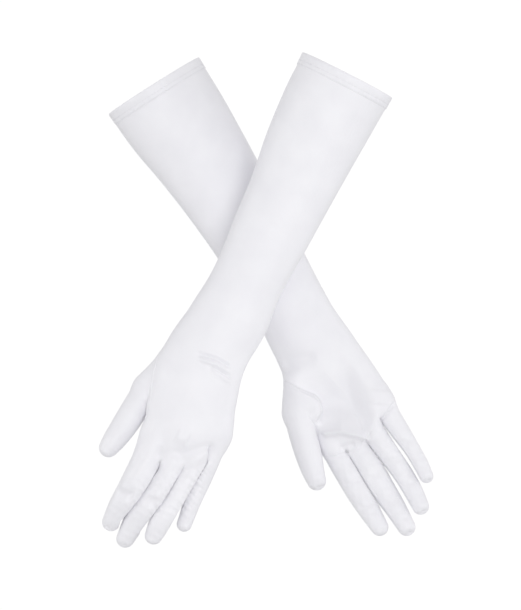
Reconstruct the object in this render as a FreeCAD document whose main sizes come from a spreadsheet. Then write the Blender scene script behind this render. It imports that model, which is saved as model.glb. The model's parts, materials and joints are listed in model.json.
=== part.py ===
"""A pair of elbow-length stretch-satin opera gloves, filled out as worn and crossed in an X.

Millimetres, +Z up. The origin is the centre of the right glove's arm opening. Both gloves hang
fingers down in planes parallel to XZ: the right one turns its palm to -Y, and the left one, in
front of it on the -Y side, turns the back of its hand to -Y.
"""

import FreeCAD, Part
import math
import os

DIMENSIONS = {
    # cloth and hem
    "cloth_thickness": 0.8,
    "mouth_radius": 44.0,
    "hem_width": 12.0,
    "hem_thickness": 1.4,
    "thread_radius": 0.25,
    "thread_row_spacing": 3.5,
    "seam_width": 2.4,
    "seam_height": 0.5,
    "seam_end_clearance": 8.0,
    # how far one glove's middle plane lies in front of the other's
    "crossing_offset": 58.0,
    # sleeve: distance from the mouth, half width and half depth of each cross-section
    "elbow_reach": 60.0,
    "elbow_half_width": 41.6,
    "elbow_half_depth": 40.0,
    "upper_reach": 110.0,
    "upper_half_width": 37.0,
    "upper_half_depth": 34.0,
    "middle_reach": 160.0,
    "middle_half_width": 34.0,
    "middle_half_depth": 29.0,
    "lower_reach": 205.0,
    "lower_half_width": 31.8,
    "lower_half_depth": 25.0,
    "slim_reach": 240.0,
    "slim_half_width": 32.0,
    "slim_half_depth": 22.4,
    "wrist_reach": 268.0,
    "wrist_half_width": 34.0,
    "wrist_half_depth": 20.5,
    "wrist_overrun": 26.0,
    # hand: distance from the wrist, reach to the thumb side and to the little side, half depth
    "heel_reach": 24.0,
    "heel_thumb_side": 38.0,
    "heel_little_side": 35.6,
    "heel_half_depth": 19.4,
    "palm_reach": 50.0,
    "palm_thumb_side": 36.6,
    "palm_little_side": 38.6,
    "palm_half_depth": 18.4,
    "hollow_reach": 72.0,
    "hollow_thumb_side": 35.4,
    "hollow_little_side": 39.8,
    "hollow_half_depth": 16.4,
    "knuckle_reach": 92.0,
    "knuckle_thumb_side": 36.6,
    "knuckle_little_side": 40.0,
    "knuckle_half_depth": 13.4,
    "web_reach": 112.0,
    "web_thumb_side": 37.0,
    "web_little_side": 40.0,
    "web_half_depth": 11.4,
    # digits: length beyond the hinge, radius at the hinge and behind the tip
    "index_length": 78.0,
    "index_radius": 9.2,
    "index_tip_radius": 7.4,
    "middle_finger_length": 87.0,
    "middle_finger_radius": 9.0,
    "middle_finger_tip_radius": 7.6,
    "ring_length": 82.0,
    "ring_radius": 8.6,
    "ring_tip_radius": 7.2,
    "little_length": 72.0,
    "little_radius": 7.6,
    "little_tip_radius": 6.4,
    "thumb_length": 55.0,
    "thumb_radius": 11.0,
    "thumb_tip_radius": 8.2,
    "fourchette_width": 7.0,
    # thumb gusset: radius where it leaves the heel and where it is fullest
    "gusset_root_radius": 8.0,
    "gusset_full_radius": 12.6,
    # room that a bending digit or hand leaves
    "hinge_gap": 0.5,
    "digit_extension_degrees": 10.0,
    "wrist_flexion_degrees": 50.0,
    "wrist_extension_degrees": 40.0,
    # lie of the right glove, angles from straight down towards +X
    "right_mouth_across": 0.0,
    "right_mouth_height": 0.0,
    "right_forearm_angle": 32.3,
    "right_hand_angle": 26.4,
    "right_curl": 14.0,
    "right_index_across": 28.0,
    "right_index_reach": 92.0,
    "right_index_splay": -2.0,
    "right_middle_finger_across": 8.6,
    "right_middle_finger_reach": 96.0,
    "right_middle_finger_splay": -3.4,
    "right_ring_across": -10.6,
    "right_ring_reach": 90.0,
    "right_ring_splay": -3.8,
    "right_little_across": -29.0,
    "right_little_reach": 79.0,
    "right_little_splay": -5.2,
    "right_thumb_across": 46.5,
    "right_thumb_reach": 59.0,
    "right_thumb_splay": 12.5,
    # lie of the left glove
    "left_mouth_across": 168.6,
    "left_mouth_height": 7.8,
    "left_forearm_angle": -27.0,
    "left_hand_angle": -16.0,
    "left_curl": 20.0,
    "left_index_across": 26.2,
    "left_index_reach": 98.0,
    "left_index_splay": 12.0,
    "left_middle_finger_across": 6.8,
    "left_middle_finger_reach": 100.0,
    "left_middle_finger_splay": 12.0,
    "left_ring_across": -13.2,
    "left_ring_reach": 94.0,
    "left_ring_splay": 9.0,
    "left_little_across": -32.2,
    "left_little_reach": 82.0,
    "left_little_splay": 6.0,
    "left_thumb_across": 46.5,
    "left_thumb_reach": 63.0,
    "left_thumb_splay": 16.0,
}

SLEEVE_STATIONS = ("elbow", "upper", "middle", "lower", "slim", "wrist")
HAND_STATIONS = ("heel", "palm", "hollow", "knuckle", "web")
FINGERS = ("index", "middle_finger", "ring", "little")
# the sides of each finger that face a neighbour, +1 towards the thumb
FORKS = {"index": (-1,), "middle_finger": (1, -1), "ring": (1, -1), "little": (1,)}
# how far a digit's cutting boxes reach past it, to the little side and to the thumb side
RELIEF_MARGINS = {
    "index": (3.0, 12.0),
    "middle_finger": (3.0, 3.0),
    "ring": (3.0, 3.0),
    "little": (12.0, 3.0),
    "thumb": (0.6, 12.0),
}
SIDE_WORDS = {1: "thumb_side", -1: "little_side"}

SHEET = "Dimensions"
FAR = 160.0  # longer than anything that a cutting box has to clear
DEPTH_AXIS = FreeCAD.Vector(0, 1, 0)
DOME_DEGREES = (0.0, 32.0, 56.0, 74.0)  # latitudes of the rings that round off a fingertip
HALF_TURN = FreeCAD.Placement(FreeCAD.Vector(), FreeCAD.Rotation(FreeCAD.Vector(0, 0, 1), 180))
THUMB_DEPTH = 7.0  # the thumb stands this far to the palm side of the hand's middle plane

doc = FreeCAD.newDocument("OperaGloves")
sheet = doc.addObject("Spreadsheet::Sheet", SHEET)
for row, (alias, number) in enumerate(DIMENSIONS.items(), start=1):
    sheet.set(f"A{row}", alias)
    sheet.set(f"B{row}", str(number))
    sheet.setAlias(f"B{row}", alias)
doc.recompute()


def value(alias):
    """The number in a named cell."""
    return float(sheet.get(alias))


def cell(alias):
    """A named cell, as an expression writes it."""
    return f"{SHEET}.{alias}"


class Frame:
    """A place with an across direction, to the thumb side, and an along direction, to the tips."""

    def __init__(self, origin, degrees):
        lean = math.radians(degrees)
        self.origin = origin
        self.along = FreeCAD.Vector(math.sin(lean), 0, -math.cos(lean))
        self.across = FreeCAD.Vector(-math.cos(lean), 0, -math.sin(lean))

    def point(self, across=0.0, depth=0.0, along=0.0):
        """A point in this frame. depth is along world +Y, whichever way the palm faces."""
        return self.origin + self.across * across + DEPTH_AXIS * depth + self.along * along

    def placement(self, across=0.0, depth=0.0, along=0.0):
        """The frame moved to such a point: local X is across, local Y depth and local Z along."""
        turn = FreeCAD.Rotation(self.across, DEPTH_AXIS, self.along, "ZXY")
        return FreeCAD.Placement(self.point(across, depth, along), turn)

    def bent(self, across, depth, along, bend):
        """A placement like the one above, turned about the across direction by bend degrees."""
        turn = FreeCAD.Rotation(FreeCAD.Vector(1, 0, 0), bend)
        place = self.placement(across, depth, along)
        return FreeCAD.Placement(place.Base, place.Rotation.multiply(turn))


def section(name, place, half_width, half_depth):
    """An elliptical cross-section whose two radii are expressions."""
    ring = doc.addObject("Part::Ellipse", name)
    ring.setExpression("MajorRadius", half_width)
    ring.setExpression("MinorRadius", half_depth)
    ring.Placement = place
    return ring


def loft(name, sections):
    """A smooth solid through cross-sections."""
    body = doc.addObject("Part::Loft", name)
    body.Sections = sections
    body.Solid = True
    body.Ruled = False
    return body


def cut(name, base, tools):
    """base less every tool, as one boolean feature per tool."""
    for count, tool in enumerate(tools, start=1):
        last = count == len(tools)
        trimmed = doc.addObject("Part::Cut", name if last else f"{name}_less_{count}")
        trimmed.Base = base
        trimmed.Tool = tool
        base = trimmed
    return base


def common(name, base, tool):
    """What two shapes share."""
    shared = doc.addObject("Part::Common", name)
    shared.Base = base
    shared.Tool = tool
    return shared


def box(name, frame, across, depth, along, bend=0.0):
    """A box between the given pairs of limits in a frame, turned about its across direction.

    The turn is about the line where depth and along are both zero.
    """
    block = doc.addObject("Part::Box", name)
    block.Length = across[1] - across[0]
    block.Width = depth[1] - depth[0]
    block.Height = along[1] - along[0]
    hinge = frame.bent(0, 0, 0, bend)
    corner = FreeCAD.Vector(across[0], depth[0], along[0])
    block.Placement = hinge.multiply(FreeCAD.Placement(corner, FreeCAD.Rotation()))
    return block


def palm_limits(palm, near, far):
    """Depth limits from near to far on the palm's side, in rising order."""
    return tuple(sorted((palm * near, palm * far)))


def digit_relief(name, frame, palm, digit):
    """Cutters that leave a digit room to bend: all that is beyond its hinge, and a radius more
    on the palm's side, where the digit's own wall comes round."""
    radius = value(f"{digit}_radius")
    gap = value("hinge_gap")
    reach_back = radius * math.sin(math.radians(value("digit_extension_degrees")))
    to_little, to_thumb = RELIEF_MARGINS[digit]
    sides = (-radius - to_little, radius + to_thumb)
    beyond = box(f"{name}_beyond", frame, sides, (-FAR, FAR), (-reach_back - gap, FAR))
    palm_back = -radius - gap
    below = box(f"{name}_below", frame, sides, palm_limits(palm, -gap, FAR), (palm_back, FAR))
    return [beyond, below]


def wrist_bevels(name, frame, palm, side):
    """Cutters that square a tube's end at the wrist hinge and bevel it on both faces, by half of
    each limit.

    side is +1 to clear what lies beyond the hinge, and -1 to clear what lies before it.
    """
    gap = value("hinge_gap") / 2
    wide = (-FAR, FAR)
    along = (-gap, FAR) if side > 0 else (-FAR, gap)
    bevels = [box(f"{name}_square", frame, wide, wide, along)]
    for word, facing, limit in (
        ("flexion", palm, value("wrist_flexion_degrees")),
        ("extension", -palm, value("wrist_extension_degrees")),
    ):
        depth = tuple(sorted((-facing * gap, facing * FAR)))
        lean = -side * facing * (limit / 2 + 1.0)
        bevels.append(box(f"{name}_{word}", frame, wide, depth, along, lean))
    return bevels


def make_sleeve(side, mouth, wrist, palm):
    """The forearm tube, its folded hem, the hem's two rows of thread and the side seam."""
    fold = doc.addObject("Part::Cylinder", f"{side}_hem_outside")
    fold.setExpression("Radius", cell("mouth_radius"))
    fold.setExpression("Height", cell("hem_width"))
    fold.Placement = mouth.placement()
    hole = doc.addObject("Part::Cylinder", f"{side}_hem_inside")
    hole.setExpression("Radius", f"{cell('mouth_radius')} - {cell('hem_thickness')}")
    hole.setExpression("Height", cell("hem_width"))
    hole.Placement = mouth.placement()
    hem = cut(f"{side}_hem", fold, [hole])

    rows = []
    for count in range(2):
        row = doc.addObject("Part::Torus", f"{side}_thread_{count}")
        row.setExpression("Radius1", f"{cell('mouth_radius')} + {cell('thread_radius')} * 1.1")
        row.setExpression("Radius2", cell("thread_radius"))
        back = value("hem_width") - 1.5 - count * value("thread_row_spacing")
        row.Placement = mouth.placement(along=back)
        rows.append(row)
    stitching = doc.addObject("Part::Compound", f"{side}_hem_stitching")
    stitching.Links = rows

    def tube(kind, grow):
        rings = [
            section(f"{side}_{kind}_rim", mouth.placement(along=value("hem_width")),
                    f"{cell('mouth_radius')} + {grow}", f"{cell('mouth_radius')} + {grow}")
        ]
        for station in SLEEVE_STATIONS:
            place = mouth.placement(along=value(f"{station}_reach"))
            rings.append(
                section(f"{side}_{kind}_{station}", place,
                        f"{cell(station + '_half_width')} + {grow}",
                        f"{cell(station + '_half_depth')} + {grow}")
            )
        # the tube runs on past the wrist, for the hinge's cutters to trim it square to the hand
        place = mouth.placement(along=value("wrist_reach") + value("wrist_overrun"))
        rings.append(
            section(f"{side}_{kind}_end", place, f"{cell('wrist_half_width')} + {grow}",
                    f"{cell('wrist_half_depth')} + {grow}")
        )
        return loft(f"{side}_{kind}", rings)

    outside = tube("sleeve_outside", "0")
    inside = tube("sleeve_inside", f"(0 - {cell('cloth_thickness')})")
    proud = tube("sleeve_proud", cell("seam_height"))
    sleeve = cut(f"{side}_sleeve", outside, [inside] + wrist_bevels(f"{side}_cuff", wrist, palm, 1))

    half_seam = value("seam_width") / 2
    strip = box(f"{side}_seam_strip", mouth, (0, FAR), (-half_seam, half_seam),
                (value("hem_width"), value("wrist_reach") - value("seam_end_clearance")))
    ridge = cut(f"{side}_seam_ridge", proud, [outside])
    seam = common(f"{side}_side_seam", ridge, strip)
    return [sleeve, hem, stitching, seam]


def finger_tube(name, digit, frame, palm, curl, grow):
    """A tapering digit, closed by a dome, that curls towards the palm. grow offsets its skin."""
    length = value(f"{digit}_length")
    tip = value(f"{digit}_tip_radius")
    straight = length - tip
    stations = [(share * straight, None) for share in (0.0, 0.3, 0.65)]
    stations += [(straight, degrees) for degrees in DOME_DEGREES]
    rings = []
    for count, (along, degrees) in enumerate(stations):
        skin = f"({cell(digit + '_tip_radius')} + {grow})"
        if degrees is None:
            share = along / straight
            base = f"({cell(digit + '_radius')} + {grow})"
            radius = f"{base} * {1 - share} + {skin} * {share}"
        else:
            radius = f"{skin} * cos({degrees} deg)"
            offset = 0.0 if grow == "0" else value("cloth_thickness")
            along += (tip - offset) * math.sin(math.radians(degrees))
        # the middle line is an arc: its slope grows evenly with the distance along it
        bend = palm * curl * along / length
        sweep = math.radians(bend)
        forward = along if abs(sweep) < 1e-6 else along * math.sin(sweep) / sweep
        aside = 0.0 if abs(sweep) < 1e-6 else along * (1 - math.cos(sweep)) / sweep
        place = frame.bent(0, aside, forward, -bend)
        rings.append(section(f"{name}_ring_{count}", place, radius, radius))
    return loft(name, rings)


def make_digit(side, digit, frame, palm, curl):
    """One finger or thumb, hollow and open at its hinge, with the side strips that a neighbour
    faces as fourchettes of their own."""
    name = f"{side}_{digit}"
    gap = value("hinge_gap") / 2
    start = Frame(frame.point(along=gap), 0)
    start.across, start.along = frame.across, frame.along
    outside = finger_tube(f"{name}_outside", digit, start, palm, curl, "0")
    inside = finger_tube(f"{name}_inside", digit, start, palm, curl,
                         f"(0 - {cell('cloth_thickness')})")
    sides = FORKS.get(digit, ())
    if not sides:
        return [cut(name, outside, [inside])]
    shell = cut(f"{name}_whole", outside, [inside])
    half = value("fourchette_width") / 2
    length = value(f"{digit}_length")
    sag = palm * length * math.radians(curl) / 8
    strips = []
    for facing in sides:
        across = tuple(sorted((facing * value(f"{digit}_radius") * 0.4, facing * 3 * half)))
        strips.append(
            box(f"{name}_strip_{SIDE_WORDS[facing]}", start, across, (-half + sag, half + sag),
                (-1.0, length - 1.5 * value(f"{digit}_tip_radius")), -palm * curl / 2)
        )
    pieces = [cut(name, shell, strips)]
    for facing, strip in zip(sides, strips):
        pieces.append(common(f"{name}_fourchette_{SIDE_WORDS[facing]}", shell, strip))
    return pieces


def make_hand(side, wrist, palm, digits):
    """The back and palm of the hand, the thumb gusset and the bead of the thumb's seam."""
    def tube(kind, grow):
        # the half turn starts each ring on the little side, away from the thumb's opening
        rings = [
            section(f"{side}_{kind}_wrist", wrist.placement().multiply(HALF_TURN),
                    f"{cell('wrist_half_width')} + {grow}", f"{cell('wrist_half_depth')} + {grow}")
        ]
        for station in HAND_STATIONS:
            near, far = cell(f"{station}_thumb_side"), cell(f"{station}_little_side")
            middle = (value(f"{station}_thumb_side") - value(f"{station}_little_side")) / 2
            place = wrist.placement(across=middle, along=value(f"{station}_reach"))
            place = place.multiply(HALF_TURN)
            rings.append(
                section(f"{side}_{kind}_{station}", place, f"({near} + {far}) / 2 + {grow}",
                        f"{cell(station + '_half_depth')} + {grow}")
            )
        return loft(f"{side}_{kind}", rings)

    def gusset(kind, grow):
        thumb = digits["thumb"]
        place_from = wrist.point(across=27.0, depth=palm * 2.0, along=10.0)
        middle = (place_from + thumb.origin) * 0.5
        route = [
            (place_from, "gusset_root_radius"),
            (middle, "gusset_full_radius"),
            (thumb.origin, "thumb_radius"),
        ]
        chord = (thumb.origin - place_from).normalize()
        depth = chord.cross(thumb.across).normalize()
        turn = FreeCAD.Rotation(depth.cross(chord), depth, chord, "ZXY")
        rings = []
        for count, (place, alias) in enumerate(route):
            radius = f"{cell(alias)} + {grow}"
            is_last = count == len(route) - 1
            ring_place = thumb.placement() if is_last else FreeCAD.Placement(place, turn)
            rings.append(section(f"{side}_{kind}_ring_{count}", ring_place, radius, radius))
        return loft(f"{side}_{kind}", rings)

    inward = f"(0 - {cell('cloth_thickness')})"
    outside = tube("hand_outside", "0")
    inside = tube("hand_inside", inward)
    proud = tube("hand_proud", cell("seam_height"))
    thumb_outside = gusset("gusset_outside", "0")
    thumb_inside = gusset("gusset_inside", inward)
    thumb_proud = gusset("gusset_proud", cell("seam_height"))

    bevels = wrist_bevels(f"{side}_heel", wrist, palm, -1)
    thumb_relief = digit_relief(f"{side}_thumb", digits["thumb"], palm, "thumb")
    relief = bevels + thumb_relief
    for digit in FINGERS:
        relief += digit_relief(f"{side}_{digit}", digits[digit], palm, digit)

    wide = (-FAR, FAR)
    shell = cut(f"{side}_hand_shell", outside, [inside, thumb_outside] + relief)
    palm_half = box(f"{side}_palm_half", wrist, wide, palm_limits(palm, 0, FAR), wide)
    back_half = box(f"{side}_back_half", wrist, wide, palm_limits(palm, -FAR, 0), wide)
    palm_panel = common(f"{side}_palm", shell, palm_half)
    back_panel = common(f"{side}_back", shell, back_half)

    gusset_cutters = [thumb_inside, inside] + thumb_relief
    gusset_panel = cut(f"{side}_thumb_gusset", thumb_outside, gusset_cutters)
    corner = common(f"{side}_seam_corner", proud, thumb_proud)
    bead = cut(f"{side}_thumb_seam", corner, [outside, thumb_outside] + thumb_relief)
    return [palm_panel, back_panel, gusset_panel, bead]


def make_glove(side, palm):
    """Every sub-part of one glove. palm is the sign of the palm's direction along Y."""
    front = 0.0 if side == "right" else -value("crossing_offset")
    corner = FreeCAD.Vector(value(f"{side}_mouth_across"), front, value(f"{side}_mouth_height"))
    mouth = Frame(corner, value(f"{side}_forearm_angle"))
    wrist = Frame(mouth.point(along=value("wrist_reach")), value(f"{side}_hand_angle"))
    digits = {}
    for digit in FINGERS + ("thumb",):
        depth = palm * THUMB_DEPTH if digit == "thumb" else 0.0
        place = wrist.point(value(f"{side}_{digit}_across"), depth, value(f"{side}_{digit}_reach"))
        lean = value(f"{side}_hand_angle") - value(f"{side}_{digit}_splay")
        digits[digit] = Frame(place, lean)
    pieces = make_sleeve(side, mouth, wrist, palm)
    pieces += make_hand(side, wrist, palm, digits)
    for digit, frame in digits.items():
        pieces += make_digit(side, digit, frame, palm, value(f"{side}_curl"))
    return pieces


subparts = make_glove("right", -1) + make_glove("left", 1)
doc.recompute()

for item in doc.Objects:
    if "Invalid" in item.State or "Error" in item.State:
        raise SystemExit(f"{item.Label} failed: {item.State}")
for subpart in subparts:
    subpart.Label = subpart.Name
    if subpart.Shape.isNull() or not subpart.Shape.isValid() or not subpart.Shape.Solids:
        raise SystemExit(f"{subpart.Label} has no sound shape")

os.makedirs("parts", exist_ok=True)
for subpart in subparts:
    subpart.Shape.exportStep(f"parts/{subpart.Label}.step")
    sizes = subpart.Shape.BoundBox
    print(f"{subpart.Label}: {len(subpart.Shape.Solids)} solid(s), {subpart.Shape.Volume:.0f} mm3, "
          f"{sizes.XLength:.0f} x {sizes.YLength:.0f} x {sizes.ZLength:.0f}")
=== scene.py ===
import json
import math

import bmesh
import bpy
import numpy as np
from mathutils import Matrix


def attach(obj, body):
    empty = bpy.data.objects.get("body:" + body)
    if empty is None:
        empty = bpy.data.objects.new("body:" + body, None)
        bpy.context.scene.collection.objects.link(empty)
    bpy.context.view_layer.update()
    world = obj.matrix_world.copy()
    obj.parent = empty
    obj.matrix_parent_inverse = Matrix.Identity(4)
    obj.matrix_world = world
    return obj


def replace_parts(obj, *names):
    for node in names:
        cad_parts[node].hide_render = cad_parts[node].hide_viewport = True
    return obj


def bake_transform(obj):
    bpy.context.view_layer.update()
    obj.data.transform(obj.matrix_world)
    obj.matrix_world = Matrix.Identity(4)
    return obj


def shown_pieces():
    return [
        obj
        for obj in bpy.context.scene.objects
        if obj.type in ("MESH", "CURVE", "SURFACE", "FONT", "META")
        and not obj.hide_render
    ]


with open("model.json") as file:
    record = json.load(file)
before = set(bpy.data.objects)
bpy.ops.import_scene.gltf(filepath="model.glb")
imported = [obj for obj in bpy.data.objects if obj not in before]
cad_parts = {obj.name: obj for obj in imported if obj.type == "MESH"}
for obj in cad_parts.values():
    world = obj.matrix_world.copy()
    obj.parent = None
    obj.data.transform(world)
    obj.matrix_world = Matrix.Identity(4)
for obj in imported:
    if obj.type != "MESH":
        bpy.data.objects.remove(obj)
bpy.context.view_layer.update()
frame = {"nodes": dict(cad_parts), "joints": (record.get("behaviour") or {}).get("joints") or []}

# A pair of white stretch-satin opera gloves, crossed and filled out as worn.
# Each glove is worked out in millimetres in its own hand frame: u to the thumb's side, q to the
# palm and w to the fingertips, from the wrist joint. The forearm is first laid straight along -w
# and the fingers spread apart, so that they mesh separately. lay() then closes the fingers and
# turns the forearm, dent() presses folds into the skin, and world() puts the glove in its place.

import openvdb
from mathutils import Vector
from mathutils.bvhtree import BVHTree

MM = 0.001
joints = {joint["name"]: joint for joint in frame["joints"]}

FINGERS = ("index", "middle_finger", "ring", "little")
DIGITS = FINGERS + ("thumb",)
SLEEVE = 268.0          # from the mouth to the wrist joint
CLOTH = 0.6             # thickness of the satin
HEM = 11.5              # width of the hem
VOXEL = 1.0             # grid of the hand's surface
CONTACT = 0.06          # half the gap between fingers pressed together
ARM_CUT = -30.0         # w where the hand's mesh meets the sleeve's rings
RING_PITCH = 3.0        # distance between sleeve rings
TURN_START = -25.0      # w where the forearm's turn to its own lean is complete
TURN_LENGTH = 40.0      # and the length that it is spread over
FAR = 60.0              # a distance that counts as outside everything
MARGIN = 12.0           # how far round a digit its field is worked out
GRID_LOW = (-64.0, -32.0, ARM_CUT - 6.0)    # u, q and w that the hand's grid starts at
GRID_HIGH = (98.0, 40.0, 196.0)             # and ends before
SPINE_STEPS = 26        # points along a digit's smooth middle line
BALL_STEPS = 9          # points along the ball of the thumb
SEAM_STEPS = 60         # points along a finger's seams
SEAM_PITCH = 1.2        # distance between points along the hand's seams
WEB_FILLET = 7.0        # softness of the hand's edge between the fingers
BALL_FILLET = 9.0       # where the ball of the thumb meets the hand
FORK_FILLET = 1.2       # where two fingers meet
ROOT_FILLET = 6.0       # where fingers and thumb meet the hand
BALL_REGION = (slice(64, None), slice(None), slice(8, 106))     # of the grid, round that ball
KNUCKLES = [(-60, 84), (-22, 90), (0, 96), (60, 96)]    # (u, w) past which the fingers are closed
CRUMPLE = 0.17          # height of the cloth's uneven ripples along the fingers
CREST_SLOPE = 13.5      # how far before its crest the palm rises
CREST_LIP = 3.4         # and how far beyond it, it falls
THUMB_ROOT = 14.0       # w where the side seam ends and the thumb's seam begins
PIECE_LAP = 4.0         # how far before its hinge a finger's piece begins

# What a glove's table holds, all in its hand frame:
# hand_degrees and forearm_degrees: the hand's lean from straight down, and the forearm's from it.
# sections: cross-sections along the glove, each w, then its reach to the thumb's side, to the
# little finger's side, to the palm and to the back, and its squareness (2 is an ellipse).
# relief: hollows, pads and folds pressed into one side of the hand, each a line of (u, w), its
# breadth and its height.
# crest: the line (u, w) across the palm under the fingers. hollow: how far the palm rises there,
# and how far it sinks behind it.
# ball: the muscle at the thumb's root, as points u, q, w and radius.
# puckers: cloth gathered along a line of (u, w), with its side, breadth, height and pitch.
# cross_seams (u, w), thenar_seam (w, u) and side_seam (w, u): the seams on the hand.
# web (u, w): the edge of the hand between the fingers.
# between: the lines (w, u) where neighbouring fingers press flat against each other.
# digits: centre points u, q, w and radius from inside the hand to the tip. A finger's first point,
# and the thumb's second, is what it is spread about. spread is in degrees, fork is the w where its
# sides come free, and flat is how much thinner than wide it is, if it is.
RIGHT = {
    "hand_degrees": 26.4,
    "forearm_degrees": 5.9,
    "sections": [
        (-268, 45.6, 46.8, 44.6, 44.6, 2),
        (-230, 43.4, 46.4, 41, 41, 2.25),
        (-192, 38.2, 44.3, 35.5, 35.5, 2.4),
        (-153, 34.4, 41.4, 30.5, 30.5, 2.4),
        (-115, 32.2, 37.9, 27, 27, 2.4),
        (-77, 31.6, 34, 24.2, 24.2, 2.35),
        (-39, 33, 30.6, 21.4, 21.4, 2.3),
        (-12, 36, 29.8, 19.6, 20, 2.3),
        (7, 37.6, 32, 18, 19, 2.3),
        (22, 37.6, 34.4, 16.8, 18.4, 2.4),
        (45, 36, 37.6, 15.8, 17.4, 2.5),
        (70, 35, 39.4, 16.4, 15.4, 2.5),
        (90, 37.2, 39.2, 13.4, 13, 2.3),
        (108, 37.8, 38.6, 11, 11.4, 2.3),
    ],
    "relief": ("palm", [
        ([(22, 88), (8, 91)], 3.2, -2.4),
        ([(18, 94)], 1.6, -1.6),
        ([(-1.1, 92.4)], 1.8, -1.6),
        ([(-20.4, 82)], 1.8, -1.6),
        ([(37, -2), (22, 3), (4, 8)], 5, -1.3),
        ([(0.5, 183)], 4.5, -2.4),
        ([(-18.6, 172)], 4.5, -2.4),
        ([(-34.6, 149.5)], 4, -2),
        ([(53, 113)], 4.5, -2.4),
        ([(-25, 70), (-33, 58)], 9, 1.2),
        ([(37, 8), (34, 28), (28, 50)], 9, 1.8),
        ([(24, 60), (31, 57)], 1.8, -0.9),
        ([(-12, 84)], 7, 1),
        ([(37.6, 89.2), (28, 93), (19.5, 94.6)], 1.5, -0.7),
        ([(17, 95.6), (8, 95), (0, 92.6)], 1.7, -1.3),
        ([(-20.5, 83), (-30, 78.6), (-39, 73.4)], 1.5, -1.8),
        ([(17, 119), (35, 118)], 3, -0.9),
        ([(-4, 122), (13, 122)], 3, -0.9),
        ([(-24, 118), (-7, 119)], 3, -0.9),
        ([(-39, 107), (-25, 109)], 2.6, -0.8),
        ([(16, 143), (31, 142)], 2.6, -0.8),
        ([(-6, 150), (10, 150)], 2.6, -0.8),
        ([(-26, 142), (-10, 143)], 2.6, -0.8),
    ]),
    "crest": [(38, 67), (24, 71.5), (14.4, 74.6), (5, 82), (-3, 90), (-14, 82), (-26, 68),
              (-40, 52)],
    "hollow": (4.8, 15.5),
    "ball": [(20, 2.5, 10, 8.6), (21.5, 3, 22, 11.6), (23, 4.5, 36, 12.6), (26, 5, 52, 11.8)],
    "puckers": [
        ("palm", [(-20.4, 87), (-22.6, 105)], 4, 0.16, 3.8),
        ("palm", [(19, 97), (15.5, 118)], 3, 0.12, 3.6),
        ("back", [(-20.4, 87), (-24.6, 125)], 5, 0.2, 4.4),
        ("back", [(-1, 95), (-6, 130)], 4, 0.2, 4.2),
        ("back", [(18, 97), (15, 130)], 4, 0.16, 4),
    ],
    "cross_seams": [
        [(37.6, 87.6), (28, 91.5), (18.4, 93.6)],
        [(17.6, 94.4), (8, 93.5), (-0.6, 91.5)],
        [(-21, 82.5), (-30, 78), (-38.6, 73)],
    ],
    "thenar_seam": [(15, 38.3), (28, 30), (41, 20.4), (53, 22.3), (59.4, 30)],
    "side_seam": [(15, 38.3), (36, 38.3), (50, 36), (60, 34)],
    "web": [(-40, 73), (-20.4, 83), (-1, 92.4), (18, 93.8), (39, 87)],
    "between": [[(94, 18), (131, 15.6), (165, 11)], [(93, -1.1), (117, -5.2), (165, -9)],
                [(83, -20.4), (99, -22), (145, -28)]],
    "digits": {
        "index": {"spread": 8.5, "fork": 97, "flat": 1.1, "spine": [
            (27.3, 1, 72, 9.9), (26.8, 1, 95, 10.9), (25.4, 1, 114, 11.2), (24.4, 2, 130, 10.9),
            (23, 5, 150, 9.3), (21.6, 8, 165, 7.8)]},
        "middle_finger": {"spread": 2.5, "fork": 97, "flat": 1.1, "spine": [
            (8.2, 0.5, 74, 9.6), (8.4, 0.5, 96, 11), (6, 0.5, 116, 12), (5, 1.5, 131, 11.3),
            (1.9, 4.5, 157, 9.4), (0.5, 7.5, 175.4, 7.9)]},
        "ring": {"spread": -2.5, "fork": 95, "spine": [
            (-11, 1, 70, 9.2), (-11.2, 1, 93, 10.3), (-14.6, 1.5, 113, 9.9), (-17.4, 2.5, 134, 8.8),
            (-18.6, 5, 151, 8.4), (-18.4, 8, 164.6, 7.5)]},
        "little": {"spread": -7.5, "fork": 86, "spine": [
            (-28.5, 1.5, 60, 8.8), (-29.8, 1.5, 84, 9.3), (-31.8, 2, 100, 8.4), (-34, 3.5, 118, 7.2),
            (-34.8, 5.5, 133, 6.8), (-34.6, 7.5, 143.4, 6.2)]},
        "thumb": {"spread": 14, "fork": 60, "spine": [
            (28.5, 4.5, 18, 11.4), (38.2, 8, 38, 13.6), (44.8, 9.5, 60, 12.3), (49.5, 9.5, 84, 11.3),
            (51.8, 9, 96, 9.8), (52.8, 9, 104.6, 8.4)]},
    },
}

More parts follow.
